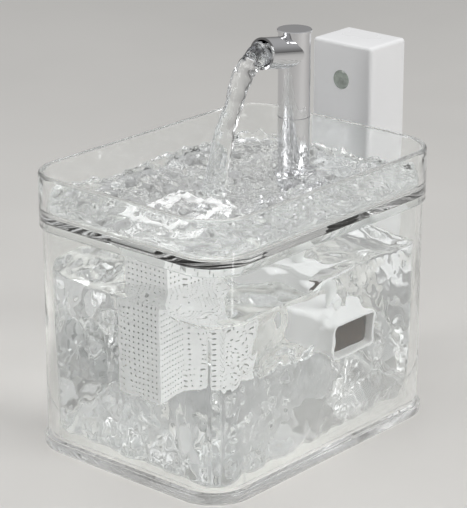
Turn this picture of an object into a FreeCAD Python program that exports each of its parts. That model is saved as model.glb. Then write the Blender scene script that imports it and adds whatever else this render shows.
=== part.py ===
import FreeCAD, Part

import math
import os

import Sketcher

# Pet water fountain: a clear tank, a clear drinking tray on top of it, a chrome
# swivel faucet fed by a pump in a white sleeve, a perforated filter basket under
# the stream, and a white tower with the batteries and the presence sensor.
#
# The frame: millimetres, +Z up, the origin in the middle of the tank's underside.
# The stream falls towards -Y, the tower stands at +Y, and X runs across.

DOC = FreeCAD.newDocument("PetWaterFountain")
Vector = FreeCAD.Vector

SIZES = {
    # tray and tank
    "tray_width": 144.0,
    "tray_depth": 193.0,
    "corner_radius": 25.0,
    "rim_level": 160.0,
    "tray_band": 31.2,
    "tray_wall": 3.4,
    "skirt_wall": 3.0,
    "tray_floor_top": 136.0,
    "floor_thickness": 3.0,
    "tank_inset": 1.75,
    "tank_wall": 3.2,
    "tank_floor": 4.0,
    "flange_height": 5.5,
    "skirt_gap": 0.3,
    "rim_round": 1.4,
    "basin_chamfer": 2.5,
    "flange_chamfer": 0.9,
    # faucet
    "faucet_from_middle": 50.0,
    "column_radius": 9.2,
    "spout_radius": 9.0,
    "spout_bore": 7.7,
    "spout_reach": 28.0,
    "spout_tilt": 9.0,
    "spout_level": 209.7,
    "seam_level": 172.5,
    "washer_thickness": 0.8,
    "faucet_top": 223.0,
    "cap_thickness": 1.5,
    "cap_radius": 9.9,
    "cap_bevel": 0.35,
    "cap_plug_radius": 6.0,
    "cap_plug": 3.0,
    "spigot_radius": 7.0,
    "spigot_length": 13.5,
    "swivel_clearance": 0.08,
    "water_bore": 4.0,
    "ring_section": 1.0,
    "base_radius": 12.5,
    "base_height": 2.5,
    "gasket_thickness": 1.0,
    "shank_radius": 6.0,
    "thread_length": 12.0,
    "barb_radius": 4.9,
    "barb_length": 12.0,
    "nut_across": 19.0,
    "nut_height": 5.5,
    "pipe_wall": 1.5,
    "fit_gap": 0.05,
    # pump
    "sleeve_length": 62.0,
    "sleeve_width": 36.0,
    "sleeve_height": 24.0,
    "sleeve_level": 46.0,
    "sleeve_wall": 1.4,
    "sleeve_corner": 3.5,
    "pump_gap": 0.2,
    "pump_front": 5.0,
    "chamber_radius": 8.0,
    "chamber_depth": 10.0,
    "well_radius": 6.2,
    "well_depth": 18.0,
    "pin_radius": 1.0,
    "pin_seat": 3.0,
    "cover_thickness": 2.0,
    "inlet_radius": 4.0,
    "rotor_radius": 5.6,
    "magnet_radius": 4.9,
    "vane_radius": 7.2,
    "vane_height": 5.0,
    "vane_thickness": 1.2,
    "vane_count": 6,
    "rotor_end_gap": 0.6,
    "foam_thickness": 11.0,
    "foam_recess": 9.0,
    "port_length": 16.0,
    "port_seat_radius": 3.4,
    "port_bore": 2.8,
    "coil_inner": 7.4,
    "coil_outer": 9.6,
    "coil_length": 12.0,
    # filter
    "filter_width": 31.0,
    "filter_depth": 45.0,
    "filter_middle": 49.5,
    "filter_bottom": 38.0,
    "filter_wall": 1.3,
    "filter_lip": 3.0,
    "filter_lip_height": 2.0,
    "window_gap": 0.5,
    "hole_side": 1.8,
    "hole_pitch": 8.6,
    "hole_rows": 10,
    "hole_columns_wide": 4,
    "hole_columns_narrow": 3,
    "pack_gap": 0.4,
    "resin_height": 24.0,
    "carbon_height": 46.0,
    "sponge_height": 16.0,
    # tower
    "tower_width": 43.0,
    "tower_shift": -4.0,
    "tower_depth": 31.5,
    "tower_top": 205.0,
    "tower_gap": 1.0,
    "tower_wall": 2.4,
    "tower_round": 2.2,
    "foot_width": 5.0,
    "foot_length": 24.0,
    "foot_from_middle": 14.5,
    "foot_stand": 0.8,
    "cover_plate": 2.0,
    "cover_recess": 0.5,
    "cover_gap": 0.2,
    "lens_level": 183.0,
    "lens_radius": 5.6,
    "lens_dome": 0.8,
    "lens_flange": 1.6,
    "lens_flange_thickness": 1.4,
    "can_radius": 4.6,
    "rail_neck": 5.0,
    "rail_head": 7.0,
    "rail_bottom": 14.0,
    "rail_top": 94.0,
    "rail_depth": 4.0,
    "rail_gap": 0.3,
    "cell_radius": 9.1,
    "cell_length": 65.0,
    "cell_bottom": 30.0,
    "cell_spacing": 19.0,
    "cell_gap": 0.2,
    "cradle_depth": 11.0,
    "cradle_margin": 3.5,
    "cradle_inset": 1.0,
    "board_thickness": 1.6,
    "board_width": 34.0,
    "board_bottom": 103.0,
    "board_top": 191.0,
    "standoff": 6.0,
    "standoff_radius": 2.6,
    "button_radius": 4.6,
    "button_level": 168.0,
    "button_proud": 1.0,
    "button_travel": 0.8,
    "button_gap": 0.3,
    "socket_level": 111.0,
    "socket_width": 9.0,
    "socket_height": 3.2,
    "flap_width": 15.0,
    "flap_height": 12.0,
    "flap_thickness": 1.8,
    "light_level": 180.0,
    "light_radius": 1.2,
    "boss_radius": 3.2,
    "screw_radius": 1.25,
    "screw_head_radius": 2.4,
    "screw_head_height": 0.9,
    "screw_length": 15.0,
    "screw_inset": 6.0,
}

SHEET = DOC.addObject("Spreadsheet::Sheet", "Sizes")
for row, (alias, number) in enumerate(SIZES.items(), start=1):
    SHEET.set(f"A{row}", alias)
    SHEET.set(f"B{row}", str(number))
    SHEET.setAlias(f"B{row}", alias)
DOC.recompute()


def size(words):
    """Turn plain size names into references to the sheet."""
    out = []
    word = ""
    for letter in words + " ":
        if letter.isalnum() or letter == "_":
            word += letter
            continue
        out.append(f"Sizes.{word}" if word in SIZES else word)
        out.append(letter)
        word = ""
    return "".join(out).strip()


def value(words):
    """The number that a size expression has now."""
    return float(SHEET.evalExpression(size(words)))


# Levels and places that several pieces share
TANK_WIDTH = "(tray_width - 2*tank_inset)"
TANK_DEPTH = "(tray_depth - 2*tank_inset)"
TANK_TOP = "(tray_floor_top - floor_thickness)"
SKIRT_BOTTOM = "(rim_level - tray_band)"
COLUMN_FOOT = "(tray_floor_top + gasket_thickness)"
SHANK_BOTTOM = "(tray_floor_top - floor_thickness - thread_length)"
BARB_BOTTOM = f"({SHANK_BOTTOM} - barb_length)"
HEAD_BOTTOM = "(seam_level + washer_thickness)"
HEAD_TOP = "(faucet_top - cap_thickness)"
SPIGOT_TOP = "(seam_level + spigot_length)"
GROOVE_LEVEL = "(seam_level + 0.5*spigot_length)"
SLEEVE_BACK = "(-sleeve_length/2)"
SLEEVE_MOUTH = "(sleeve_length/2)"
PUMP_BACK = "(-sleeve_length/2 + sleeve_wall + pump_gap)"
PUMP_HALF_HEIGHT = "(sleeve_height/2 - sleeve_wall - pump_gap)"
PUMP_HALF_WIDTH = "(sleeve_width/2 - sleeve_wall - pump_gap)"
PUMP_TOP = f"(sleeve_level + {PUMP_HALF_HEIGHT})"
CHAMBER_BACK = "(pump_front - chamber_depth)"
WELL_BACK = f"({CHAMBER_BACK} - well_depth)"
PORT_TOP = f"({PUMP_TOP} + port_length)"
FILTER_FLOOR = "(filter_bottom + filter_wall)"
TOWER_FRONT = "(tray_depth/2 + tower_gap)"
TOWER_BACK = f"({TOWER_FRONT} + tower_depth)"
COVER_BACK = f"({TOWER_BACK} - cover_recess)"
COVER_FRONT = f"({COVER_BACK} - cover_plate)"
BOARD_BACK = f"({COVER_FRONT} - standoff)"
BOARD_FRONT = f"({BOARD_BACK} - board_thickness)"
TOWER_INNER = f"({TOWER_FRONT} + tower_wall)"
SLOT_BACK = f"({TOWER_FRONT} + rail_depth + rail_gap)"


# Bodies, sketches and features

def new_body(label):
    body = DOC.addObject("PartDesign::Body", label)
    body.Label = label
    return body


def new_sketch(body, plane, offset="0"):
    """A sketch on XY (normal +Z), XZ (normal -Y) or YZ (normal +X), moved along its normal."""
    sketch = body.newObject("Sketcher::SketchObject", f"{body.Label}_outline")
    for feature in body.Origin.OriginFeatures:
        if feature.Role == f"{plane}_Plane":
            sketch.AttachmentSupport = [(feature, "")]
    sketch.MapMode = "FlatFace"
    sketch.setExpression(".AttachmentOffset.Base.z", size(offset))
    sketch.Visibility = False
    return sketch


def bind(sketch, constraint, name, words):
    sketch.renameConstraint(constraint, name)
    sketch.setExpression(f"Constraints.{name}", size(words))


def place_point(sketch, geometry, which, x, y):
    """Hold a point of the sketch at x, y, both size expressions."""
    for kind, words in (("DistanceX", x), ("DistanceY", y)):
        number = sketch.addConstraint(
            Sketcher.Constraint(kind, -1, 1, geometry, which, value(words)))
        bind(sketch, number, f"{kind}_{geometry}_{which}", words)


def polygon(sketch, points):
    """A closed outline of straight lines through points given as size expressions."""
    corners = [Vector(value(x), value(y), 0) for x, y in points]
    lines = []
    for start, end in zip(corners, corners[1:] + corners[:1]):
        lines.append(sketch.addGeometry(Part.LineSegment(start, end), False))
    for line, following in zip(lines, lines[1:] + lines[:1]):
        sketch.addConstraint(Sketcher.Constraint("Coincident", line, 2, following, 1))
    for line, (x, y) in zip(lines, points):
        place_point(sketch, line, 1, x, y)


def rectangle(sketch, x_low, x_high, y_low, y_high):
    polygon(sketch, [(x_low, y_low), (x_high, y_low), (x_high, y_high), (x_low, y_high)])


def circle(sketch, x, y, radius):
    centre = Vector(value(x), value(y), 0)
    ring = sketch.addGeometry(Part.Circle(centre, Vector(0, 0, 1), value(radius)), False)
    place_point(sketch, ring, 3, x, y)
    number = sketch.addConstraint(Sketcher.Constraint("Radius", ring, value(radius)))
    bind(sketch, number, f"radius_{ring}", radius)


def rounded_rectangle(sketch, width, depth, radius, x="0", y="0"):
    """A rectangle about x, y with four tangent corner arcs."""
    half_x, half_y, round_ = value(width) / 2, value(depth) / 2, value(radius)
    arcs = []
    for side_x, side_y, start in ((1, 1, 0), (-1, 1, 90), (-1, -1, 180), (1, -1, 270)):
        centre = Vector(value(x) + side_x * (half_x - round_),
                        value(y) + side_y * (half_y - round_), 0)
        arc = Part.ArcOfCircle(Part.Circle(centre, Vector(0, 0, 1), round_),
                               math.radians(start), math.radians(start + 90))
        arcs.append(sketch.addGeometry(arc, False))
    lines = []
    for index, arc in enumerate(arcs):
        start = sketch.getPoint(arc, 2)
        end = sketch.getPoint(arcs[(index + 1) % 4], 1)
        lines.append(sketch.addGeometry(Part.LineSegment(start, end), False))
    for index, line in enumerate(lines):
        sketch.addConstraint(Sketcher.Constraint("Tangent", arcs[index], 2, line, 1))
        sketch.addConstraint(Sketcher.Constraint("Tangent", line, 2, arcs[(index + 1) % 4], 1))
        direction = "Horizontal" if index % 2 == 0 else "Vertical"
        sketch.addConstraint(Sketcher.Constraint(direction, line))
    for arc in arcs[1:]:
        sketch.addConstraint(Sketcher.Constraint("Equal", arcs[0], arc))
    number = sketch.addConstraint(Sketcher.Constraint("Radius", arcs[0], round_))
    bind(sketch, number, f"corner_{arcs[0]}", radius)
    place_point(sketch, arcs[0], 3, f"{x} + {width}/2 - {radius}", f"{y} + {depth}/2 - {radius}")
    place_point(sketch, arcs[2], 3, f"{x} - {width}/2 + {radius}", f"{y} - {depth}/2 + {radius}")


def pad(body, sketch, length):
    feature = body.newObject("PartDesign::Pad", f"{body.Label}_pad")
    feature.Profile = sketch
    feature.setExpression("Length", size(length))
    DOC.recompute()
    return feature


def pocket(body, sketch, length):
    """Cut along the sketch's normal, and make sure that something was cut."""
    before = body.Tip.Shape.Volume
    feature = body.newObject("PartDesign::Pocket", f"{body.Label}_pocket")
    feature.Profile = sketch
    feature.Reversed = True
    feature.setExpression("Length", size(length))
    DOC.recompute()
    if feature.Shape.Volume > before - 1e-3:
        raise RuntimeError(f"{feature.Label} cuts nothing")
    return feature


def turn(body, sketch, cut=False):
    """Turn a sketch about its own vertical axis, as material or as a groove."""
    kind = "PartDesign::Groove" if cut else "PartDesign::Revolution"
    before = body.Tip.Shape.Volume if cut else 0
    feature = body.newObject(kind, f"{body.Label}_turned")
    feature.Profile = sketch
    feature.ReferenceAxis = (sketch, ["V_Axis"])
    feature.Angle = 360
    DOC.recompute()
    if cut and feature.Shape.Volume > before - 1e-3:
        raise RuntimeError(f"{feature.Label} cuts nothing")
    return feature


def round_edges(body, radius, wanted):
    """Fillet the edges of the last feature for which wanted(edge) is true."""
    base = body.Tip
    names = []
    for index, edge in enumerate(base.Shape.Edges, start=1):
        if wanted(edge):
            names.append(f"Edge{index}")
    feature = body.newObject("PartDesign::Fillet", f"{body.Label}_round")
    feature.Base = (base, names)
    feature.setExpression("Radius", size(radius))
    DOC.recompute()
    return feature


def chamfer_edges(body, wide, wanted):
    """Chamfer the edges of the last feature for which wanted(edge) is true."""
    base = body.Tip
    names = []
    for index, edge in enumerate(base.Shape.Edges, start=1):
        if wanted(edge):
            names.append(f"Edge{index}")
    feature = body.newObject("PartDesign::Chamfer", f"{body.Label}_chamfer")
    feature.Base = (base, names)
    feature.setExpression("Size", size(wide))
    DOC.recompute()
    return feature


def at_level(edge, level, low=0.0, high=1e9):
    """Whether a level edge lies at this height, with its far side low to high from the Z axis."""
    box = edge.BoundBox
    reach = max(abs(box.XMin), abs(box.XMax), abs(box.YMin), abs(box.YMax))
    flat = box.ZLength < 1e-4 and abs(box.ZMin - level) < 1e-3
    return flat and low <= reach <= high


def grid_cut(body, seed, sketch, across, up, columns, rows):
    """Repeat a seed pocket in columns and rows of its own sketch's axes."""
    multi = body.newObject("PartDesign::MultiTransform", f"{body.Label}_grid")
    steps = []
    for axis, span, number in (("H_Axis", across, columns), ("V_Axis", up, rows)):
        step = body.newObject("PartDesign::LinearPattern", f"{body.Label}_row")
        step.Direction = (sketch, [axis])
        step.setExpression("Length", size(span))
        step.setExpression("Occurrences", size(number))
        steps.append(step)
    multi.Originals = [seed]
    multi.Transformations = steps
    body.Tip = multi
    DOC.recompute()
    return multi


# Primitives and booleans

def box(name, x_low, x_high, y_low, y_high, z_low, z_high):
    thing = DOC.addObject("Part::Box", name)
    thing.setExpression("Length", size(f"({x_high}) - ({x_low})"))
    thing.setExpression("Width", size(f"({y_high}) - ({y_low})"))
    thing.setExpression("Height", size(f"({z_high}) - ({z_low})"))
    thing.setExpression(".Placement.Base.x", size(x_low))
    thing.setExpression(".Placement.Base.y", size(y_low))
    thing.setExpression(".Placement.Base.z", size(z_low))
    return thing


TURNS = {
    "X": FreeCAD.Rotation(Vector(0, 1, 0), 90),
    "Y": FreeCAD.Rotation(Vector(1, 0, 0), -90),
    "Z": FreeCAD.Rotation(),
}


def cylinder(name, axis, x, y, z, radius, length):
    """A cylinder that starts at x, y, z and runs in the positive direction of its axis."""
    thing = DOC.addObject("Part::Cylinder", name)
    thing.setExpression("Radius", size(radius))
    thing.setExpression("Height", size(length))
    thing.Placement = FreeCAD.Placement(Vector(0, 0, 0), TURNS[axis])
    thing.setExpression(".Placement.Base.x", size(x))
    thing.setExpression(".Placement.Base.y", size(y))
    thing.setExpression(".Placement.Base.z", size(z))
    return thing


def fuse(name, things):
    result = DOC.addObject("Part::MultiFuse", name)
    result.Shapes = things
    return result


def cut(name, base, tools):
    result = DOC.addObject("Part::Cut", name)
    result.Base = base
    result.Tool = tools[0] if len(tools) == 1 else fuse(f"{name}_tools", tools)
    return result


def ring(name, axis, x, y, z, outer, inner, length):
    return cut(name, cylinder(f"{name}_outer", axis, x, y, z, outer, length),
               [cylinder(f"{name}_inner", axis, x, y, z, inner, length)])


PIECES = []


def keep(label, thing):
    """Note a finished piece under the name of its node."""
    thing.Label = label
    PIECES.append(thing)
    return thing


# Tank and tray

def make_tank():
    """The clear tank: a flanged foot, straight walls and a rebated rim, with a rail behind."""
    body = new_body("tank")
    foot = new_sketch(body, "XY")
    rounded_rectangle(foot, "tray_width", "tray_depth", "corner_radius")
    pad(body, foot, "flange_height")
    flange = value("flange_height")
    chamfer_edges(body, "flange_chamfer",
                  lambda edge: at_level(edge, flange) or at_level(edge, 0))
    walls = new_sketch(body, "XY")
    rounded_rectangle(walls, TANK_WIDTH, TANK_DEPTH, "(corner_radius - tank_inset)")
    pad(body, walls, TANK_TOP)
    rail = new_sketch(body, "XY", "rail_bottom")
    root = f"({TANK_DEPTH}/2 - tank_wall/2)"
    head = f"({TOWER_FRONT} + rail_depth)"
    polygon(rail, [("tower_shift - rail_neck", root), ("tower_shift + rail_neck", root),
                   ("tower_shift + rail_neck", TOWER_FRONT), ("tower_shift + rail_head", head),
                   ("tower_shift - rail_head", head), ("tower_shift - rail_neck", TOWER_FRONT)])
    pad(body, rail, "rail_top - rail_bottom")
    inside = new_sketch(body, "XY", "tank_floor")
    rounded_rectangle(inside, f"({TANK_WIDTH} - 2*tank_wall)", f"({TANK_DEPTH} - 2*tank_wall)",
                      "(corner_radius - tank_inset - tank_wall)")
    pocket(body, inside, f"{TANK_TOP} - tank_floor")
    floor = value("tank_floor")
    chamfer_edges(body, "flange_chamfer", lambda edge: at_level(edge, floor))
    rebate = new_sketch(body, "XY", f"{SKIRT_BOTTOM} - skirt_gap")
    step = "(skirt_wall + skirt_gap)"
    rounded_rectangle(rebate, "tray_width", "tray_depth", "corner_radius")
    rounded_rectangle(rebate, f"(tray_width - 2*{step})", f"(tray_depth - 2*{step})",
                      f"(corner_radius - {step})")
    pocket(body, rebate, f"{TANK_TOP} - {SKIRT_BOTTOM} + skirt_gap")
    return keep("tank", body)


def make_tray():
    """The clear drinking tray: basin above, skirt over the tank's rim, two openings in its floor."""
    body = new_body("tray")
    block = new_sketch(body, "XY", SKIRT_BOTTOM)
    rounded_rectangle(block, "tray_width", "tray_depth", "corner_radius")
    pad(body, block, "tray_band")
    basin = new_sketch(body, "XY", "tray_floor_top")
    rounded_rectangle(basin, "(tray_width - 2*tray_wall)", "(tray_depth - 2*tray_wall)",
                      "(corner_radius - tray_wall)")
    pocket(body, basin, "rim_level - tray_floor_top")
    rim, lip, floor = value("rim_level"), value(SKIRT_BOTTOM), value("tray_floor_top")
    round_edges(body, "rim_round", lambda edge: at_level(edge, rim))
    chamfer_edges(body, "flange_chamfer", lambda edge: at_level(edge, lip))
    chamfer_edges(body, "basin_chamfer", lambda edge: at_level(edge, floor))
    skirt = new_sketch(body, "XY", SKIRT_BOTTOM)
    rounded_rectangle(skirt, "(tray_width - 2*skirt_wall)", "(tray_depth - 2*skirt_wall)",
                      "(corner_radius - skirt_wall)")
    pocket(body, skirt, f"{TANK_TOP} - {SKIRT_BOTTOM}")
    window = new_sketch(body, "XY", TANK_TOP)
    gap = "2*window_gap"
    rectangle(window, f"-(filter_width + {gap})/2", f"(filter_width + {gap})/2",
              f"-filter_middle - (filter_depth + {gap})/2",
              f"-filter_middle + (filter_depth + {gap})/2")
    pocket(body, window, "floor_thickness")
    hole = new_sketch(body, "XY", TANK_TOP)
    circle(hole, "0", "faucet_from_middle", "(shank_radius + fit_gap)")
    pocket(body, hole, "floor_thickness")
    return keep("tray", body)


# Faucet

def turned_piece(label, points):
    """A piece turned about the faucet's axis from an outline of radius and height."""
    body = new_body(label)
    outline = new_sketch(body, "XZ", "-faucet_from_middle")
    polygon(outline, points)
    turn(body, outline)
    return body


def make_lower_column():
    """The fixed lower half: swivel spigot, column, foot, threaded shank and hose barb, bored through."""
    groove_half = "(ring_section + fit_gap)"
    groove_floor = "(spigot_radius - 1.6*ring_section)"
    body = turned_piece("lower_column", [
        ("water_bore", BARB_BOTTOM),
        ("barb_radius", BARB_BOTTOM),
        ("barb_radius", SHANK_BOTTOM),
        ("shank_radius", SHANK_BOTTOM),
        ("shank_radius", COLUMN_FOOT),
        ("base_radius", COLUMN_FOOT),
        ("base_radius", f"{COLUMN_FOOT} + 0.4*base_height"),
        ("column_radius", f"{COLUMN_FOOT} + base_height"),
        ("column_radius", "seam_level"),
        ("spigot_radius", "seam_level"),
        ("spigot_radius", f"{GROOVE_LEVEL} - {groove_half}"),
        (groove_floor, f"{GROOVE_LEVEL} - {groove_half}"),
        (groove_floor, f"{GROOVE_LEVEL} + {groove_half}"),
        ("spigot_radius", f"{GROOVE_LEVEL} + {groove_half}"),
        ("spigot_radius", SPIGOT_TOP),
        ("water_bore", SPIGOT_TOP),
    ])
    return keep("lower_column", body)


def make_column_fixings():
    """The gasket on the tray floor, the nut under it and the seam washer of the swivel."""
    y = "faucet_from_middle"
    keep("column_gasket", ring("gasket", "Z", "0", y, "tray_floor_top",
                               "(base_radius - 0.6)", "shank_radius", "gasket_thickness"))
    body = new_body("column_nut")
    flats = new_sketch(body, "XY", f"{TANK_TOP} - nut_height")
    across = "(nut_across / sqrt(3))"
    polygon(flats, [(f"{across}*{round(math.cos(turned), 6)}",
                     f"faucet_from_middle + {across}*{round(math.sin(turned), 6)}")
                    for turned in [math.radians(60 * step) for step in range(6)]])
    pad(body, flats, "nut_height")
    thread = new_sketch(body, "XY", f"{TANK_TOP} - nut_height")
    circle(thread, "0", y, "shank_radius")
    pocket(body, thread, "nut_height")
    keep("column_nut", body)
    keep("swivel_washer", ring("washer", "Z", "0", y, "seam_level", "(column_radius - 0.5)",
                               "(spigot_radius + fit_gap)", "washer_thickness"))


def make_swivel_ring():
    """The rubber ring in the spigot's groove, just clear of the turning head."""
    inner, outer = "(spigot_radius - 1.6*ring_section)", "(spigot_radius - fit_gap)"
    low, high = f"({GROOVE_LEVEL} - ring_section)", f"({GROOVE_LEVEL} + ring_section)"
    body = turned_piece("swivel_ring", [(inner, low), (outer, low), (outer, high), (inner, high)])
    keep("swivel_ring", body)


def tilted(name, start, radius, length):
    """A cylinder along the spout, from a distance behind the faucet's axis."""
    thing = DOC.addObject("Part::Cylinder", name)
    thing.setExpression("Radius", size(radius))
    thing.setExpression("Height", size(length))
    thing.setExpression(".Placement.Rotation.Roll", size("90 - spout_tilt"))
    thing.setExpression(".Placement.Base.y",
                        size(f"faucet_from_middle - ({start})*cos(spout_tilt)"))
    thing.setExpression(".Placement.Base.z", size(f"spout_level + ({start})*sin(spout_tilt)"))
    return thing


def make_head():
    """The turning head: upper column with the spout mitred into it, and its top cap."""
    y = "faucet_from_middle"
    length = "spout_reach / cos(spout_tilt)"
    column = cylinder("head_column", "Z", "0", y, HEAD_BOTTOM, "column_radius",
                      f"{HEAD_TOP} - {HEAD_BOTTOM}")
    spout = tilted("head_spout", "0", "spout_radius", length)
    socket = cylinder("head_socket", "Z", "0", y, HEAD_BOTTOM,
                      "(spigot_radius + swivel_clearance)", f"{SPIGOT_TOP} - {HEAD_BOTTOM} + 1")
    riser = cylinder("head_riser", "Z", "0", y, SPIGOT_TOP, "(spigot_radius - 1)",
                     f"spout_level + 2 - {SPIGOT_TOP}")
    bore = tilted("head_bore", "0", "spout_bore", f"{length} + 5")
    plug = cylinder("head_plug_seat", "Z", "0", y, f"{HEAD_TOP} - cap_plug",
                    "cap_plug_radius", "cap_plug + 1")
    solid = fuse("head_solid", [column, spout])
    keep("faucet_head", cut("head_cut", solid, [socket, riser, bore, plug]))
    cap = turned_piece("head_cap", [
        ("0", f"{HEAD_TOP} - cap_plug"),
        ("cap_plug_radius", f"{HEAD_TOP} - cap_plug"),
        ("cap_plug_radius", HEAD_TOP),
        ("cap_radius", HEAD_TOP),
        ("cap_radius", "faucet_top - cap_bevel"),
        ("cap_radius - cap_bevel", "faucet_top"),
        ("0", "faucet_top"),
    ])
    keep("head_cap", cap)


# Pump

def make_sleeve():
    """The white square sleeve, open towards +X, with a hole above for the outlet."""
    body = new_body("pump_sleeve")
    outside = new_sketch(body, "YZ", SLEEVE_BACK)
    place = ("faucet_from_middle", "sleeve_level")
    rounded_rectangle(outside, "sleeve_width", "sleeve_height", "sleeve_corner", *place)
    pad(body, outside, "sleeve_length")
    inside = new_sketch(body, "YZ", f"{SLEEVE_BACK} + sleeve_wall")
    rounded_rectangle(inside, "(sleeve_width - 2*sleeve_wall)", "(sleeve_height - 2*sleeve_wall)",
                      "(sleeve_corner - sleeve_wall)", *place)
    pocket(body, inside, "sleeve_length")
    hole = new_sketch(body, "XY", "sleeve_level")
    circle(hole, "0", "faucet_from_middle", "(barb_radius + window_gap)")
    pocket(body, hole, "sleeve_height")
    return keep("pump_sleeve", body)


def make_pump():
    """The motor block with its chamber, rotor well and coil seat, and what it holds."""
    body = new_body("pump_body")
    block = new_sketch(body, "YZ", PUMP_BACK)
    y, z = "faucet_from_middle", "sleeve_level"
    rounded_rectangle(block, f"(2*{PUMP_HALF_WIDTH})", f"(2*{PUMP_HALF_HEIGHT})",
                      "(sleeve_corner - sleeve_wall)", y, z)
    pad(body, block, f"pump_front - {PUMP_BACK}")
    for start, radius in ((CHAMBER_BACK, "chamber_radius"), (WELL_BACK, "well_radius"),
                          (f"({WELL_BACK} - pin_seat)", "pin_radius")):
        hollow = new_sketch(body, "YZ", start)
        circle(hollow, y, z, radius)
        pocket(body, hollow, f"pump_front - {start}")
    outlet = new_sketch(body, "XY", "sleeve_level")
    circle(outlet, "0", y, "port_seat_radius")
    pocket(body, outlet, "sleeve_height")
    seat = new_sketch(body, "YZ", PUMP_BACK)
    circle(seat, y, z, "coil_outer")
    circle(seat, y, z, "coil_inner")
    pocket(body, seat, f"coil_length + {WELL_BACK} - {PUMP_BACK}")
    keep("pump_body", body)
    keep("stator_coil", ring("stator", "X", f"{WELL_BACK} + fit_gap", y, z,
                             "(coil_outer - fit_gap)", "(coil_inner + fit_gap)",
                             "coil_length - 2*fit_gap"))
    keep("rotor_pin", cylinder("pin", "X", f"{WELL_BACK} - pin_seat", y, z, "pin_radius",
                               f"pump_front - {WELL_BACK} + pin_seat"))


def make_outlet():
    """The outlet port screwed into the pump's roof, and the pipe up to the column."""
    y = "faucet_from_middle"
    port = turned_piece("outlet_port", [
        ("port_bore", "sleeve_level + chamber_radius"),
        ("port_seat_radius", "sleeve_level + chamber_radius"),
        ("port_seat_radius", PUMP_TOP),
        ("barb_radius", PUMP_TOP),
        ("barb_radius", PORT_TOP),
        ("port_bore", PORT_TOP),
    ])
    keep("outlet_port", port)
    start = f"({PORT_TOP} - 0.7*port_length)"
    end = f"({BARB_BOTTOM} + barb_length)"
    keep("riser_pipe", ring("riser", "Z", "0", y, start, "(barb_radius + pipe_wall)",
                            "barb_radius", f"{end} - {start}"))


def make_intake():
    """The chamber cover with its inlet, and the dark foam behind the sleeve's mouth."""
    y, z = "faucet_from_middle", "sleeve_level"
    plate = cylinder("cover_plate", "X", "pump_front", y, z, f"({PUMP_HALF_HEIGHT} - fit_gap)",
                     "cover_thickness")
    hub = cylinder("cover_hub", "X", "pump_front", y, z, "(pin_radius + 1)", "cover_thickness")
    spoke = box("cover_spoke", "pump_front", "pump_front + cover_thickness",
                f"{y} - inlet_radius - 0.5", f"{y} + inlet_radius + 0.5", f"{z} - 0.6", f"{z} + 0.6")
    inlet = cylinder("cover_inlet", "X", "pump_front", y, z, "inlet_radius", "cover_thickness")
    keep("chamber_cover", fuse("cover_fuse", [cut("cover_cut", plate, [inlet]), hub, spoke]))
    body = new_body("intake_foam")
    block = new_sketch(body, "YZ", f"{SLEEVE_MOUTH} - foam_recess - foam_thickness")
    rounded_rectangle(block, "(sleeve_width - 2*sleeve_wall - 2*fit_gap)",
                      "(sleeve_height - 2*sleeve_wall - 2*fit_gap)",
                      "(sleeve_corner - sleeve_wall)", y, z)
    pad(body, block, "foam_thickness")
    keep("intake_foam", body)


def make_rotor():
    """The turning rotor on its pin: hub with magnet behind and vanes in the chamber."""
    y, z = "faucet_from_middle", "sleeve_level"
    back = f"({WELL_BACK} + rotor_end_gap)"
    plate = f"({CHAMBER_BACK} + rotor_end_gap)"
    sleeve = cylinder("rotor_core", "X", back, y, z, "(magnet_radius - 1.6)",
                      f"{plate} - {back}")
    disc = cylinder("rotor_disc", "X", plate, y, z, "vane_radius", "1.2")
    hub = cylinder("rotor_hub", "X", plate, y, z, "(pin_radius + 1.4)", "1.2 + vane_height")
    vane = DOC.addObject("Part::Box", "rotor_vane")
    vane.setExpression("Length", size("1.2 + vane_height"))
    vane.setExpression("Width", size("vane_radius - pin_radius"))
    vane.setExpression("Height", size("vane_thickness"))
    vane.setExpression(".Placement.Base.x", size(plate))
    vane.setExpression(".Placement.Base.y", size(f"{y} + pin_radius"))
    vane.setExpression(".Placement.Base.z", size(f"{z} - vane_thickness/2"))
    vanes = DOC.addObject("Part::Feature", "rotor_vanes")
    DOC.recompute()
    axis_point = Vector(0, value(y), value(z))
    count = int(value("vane_count"))
    copies = []
    for step in range(count):
        copy = vane.Shape.copy()
        copy.rotate(axis_point, Vector(1, 0, 0), 360 * step / count)
        copies.append(copy)
    vanes.Shape = copies[0].multiFuse(copies[1:])
    bore = cylinder("rotor_bore", "X", f"{back} - 1", y, z, "(pin_radius + fit_gap)",
                    f"{plate} - {back} + vane_height + 4")
    solid = fuse("rotor_solid", [sleeve, disc, hub, vanes])
    keep("impeller", cut("rotor_cut", solid, [bore]))
    keep("rotor_magnet", ring("magnet", "X", back, y, z, "rotor_radius",
                              "(magnet_radius - 1.6 + fit_gap)", f"{plate} - {back} - 1"))


# Filter

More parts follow.
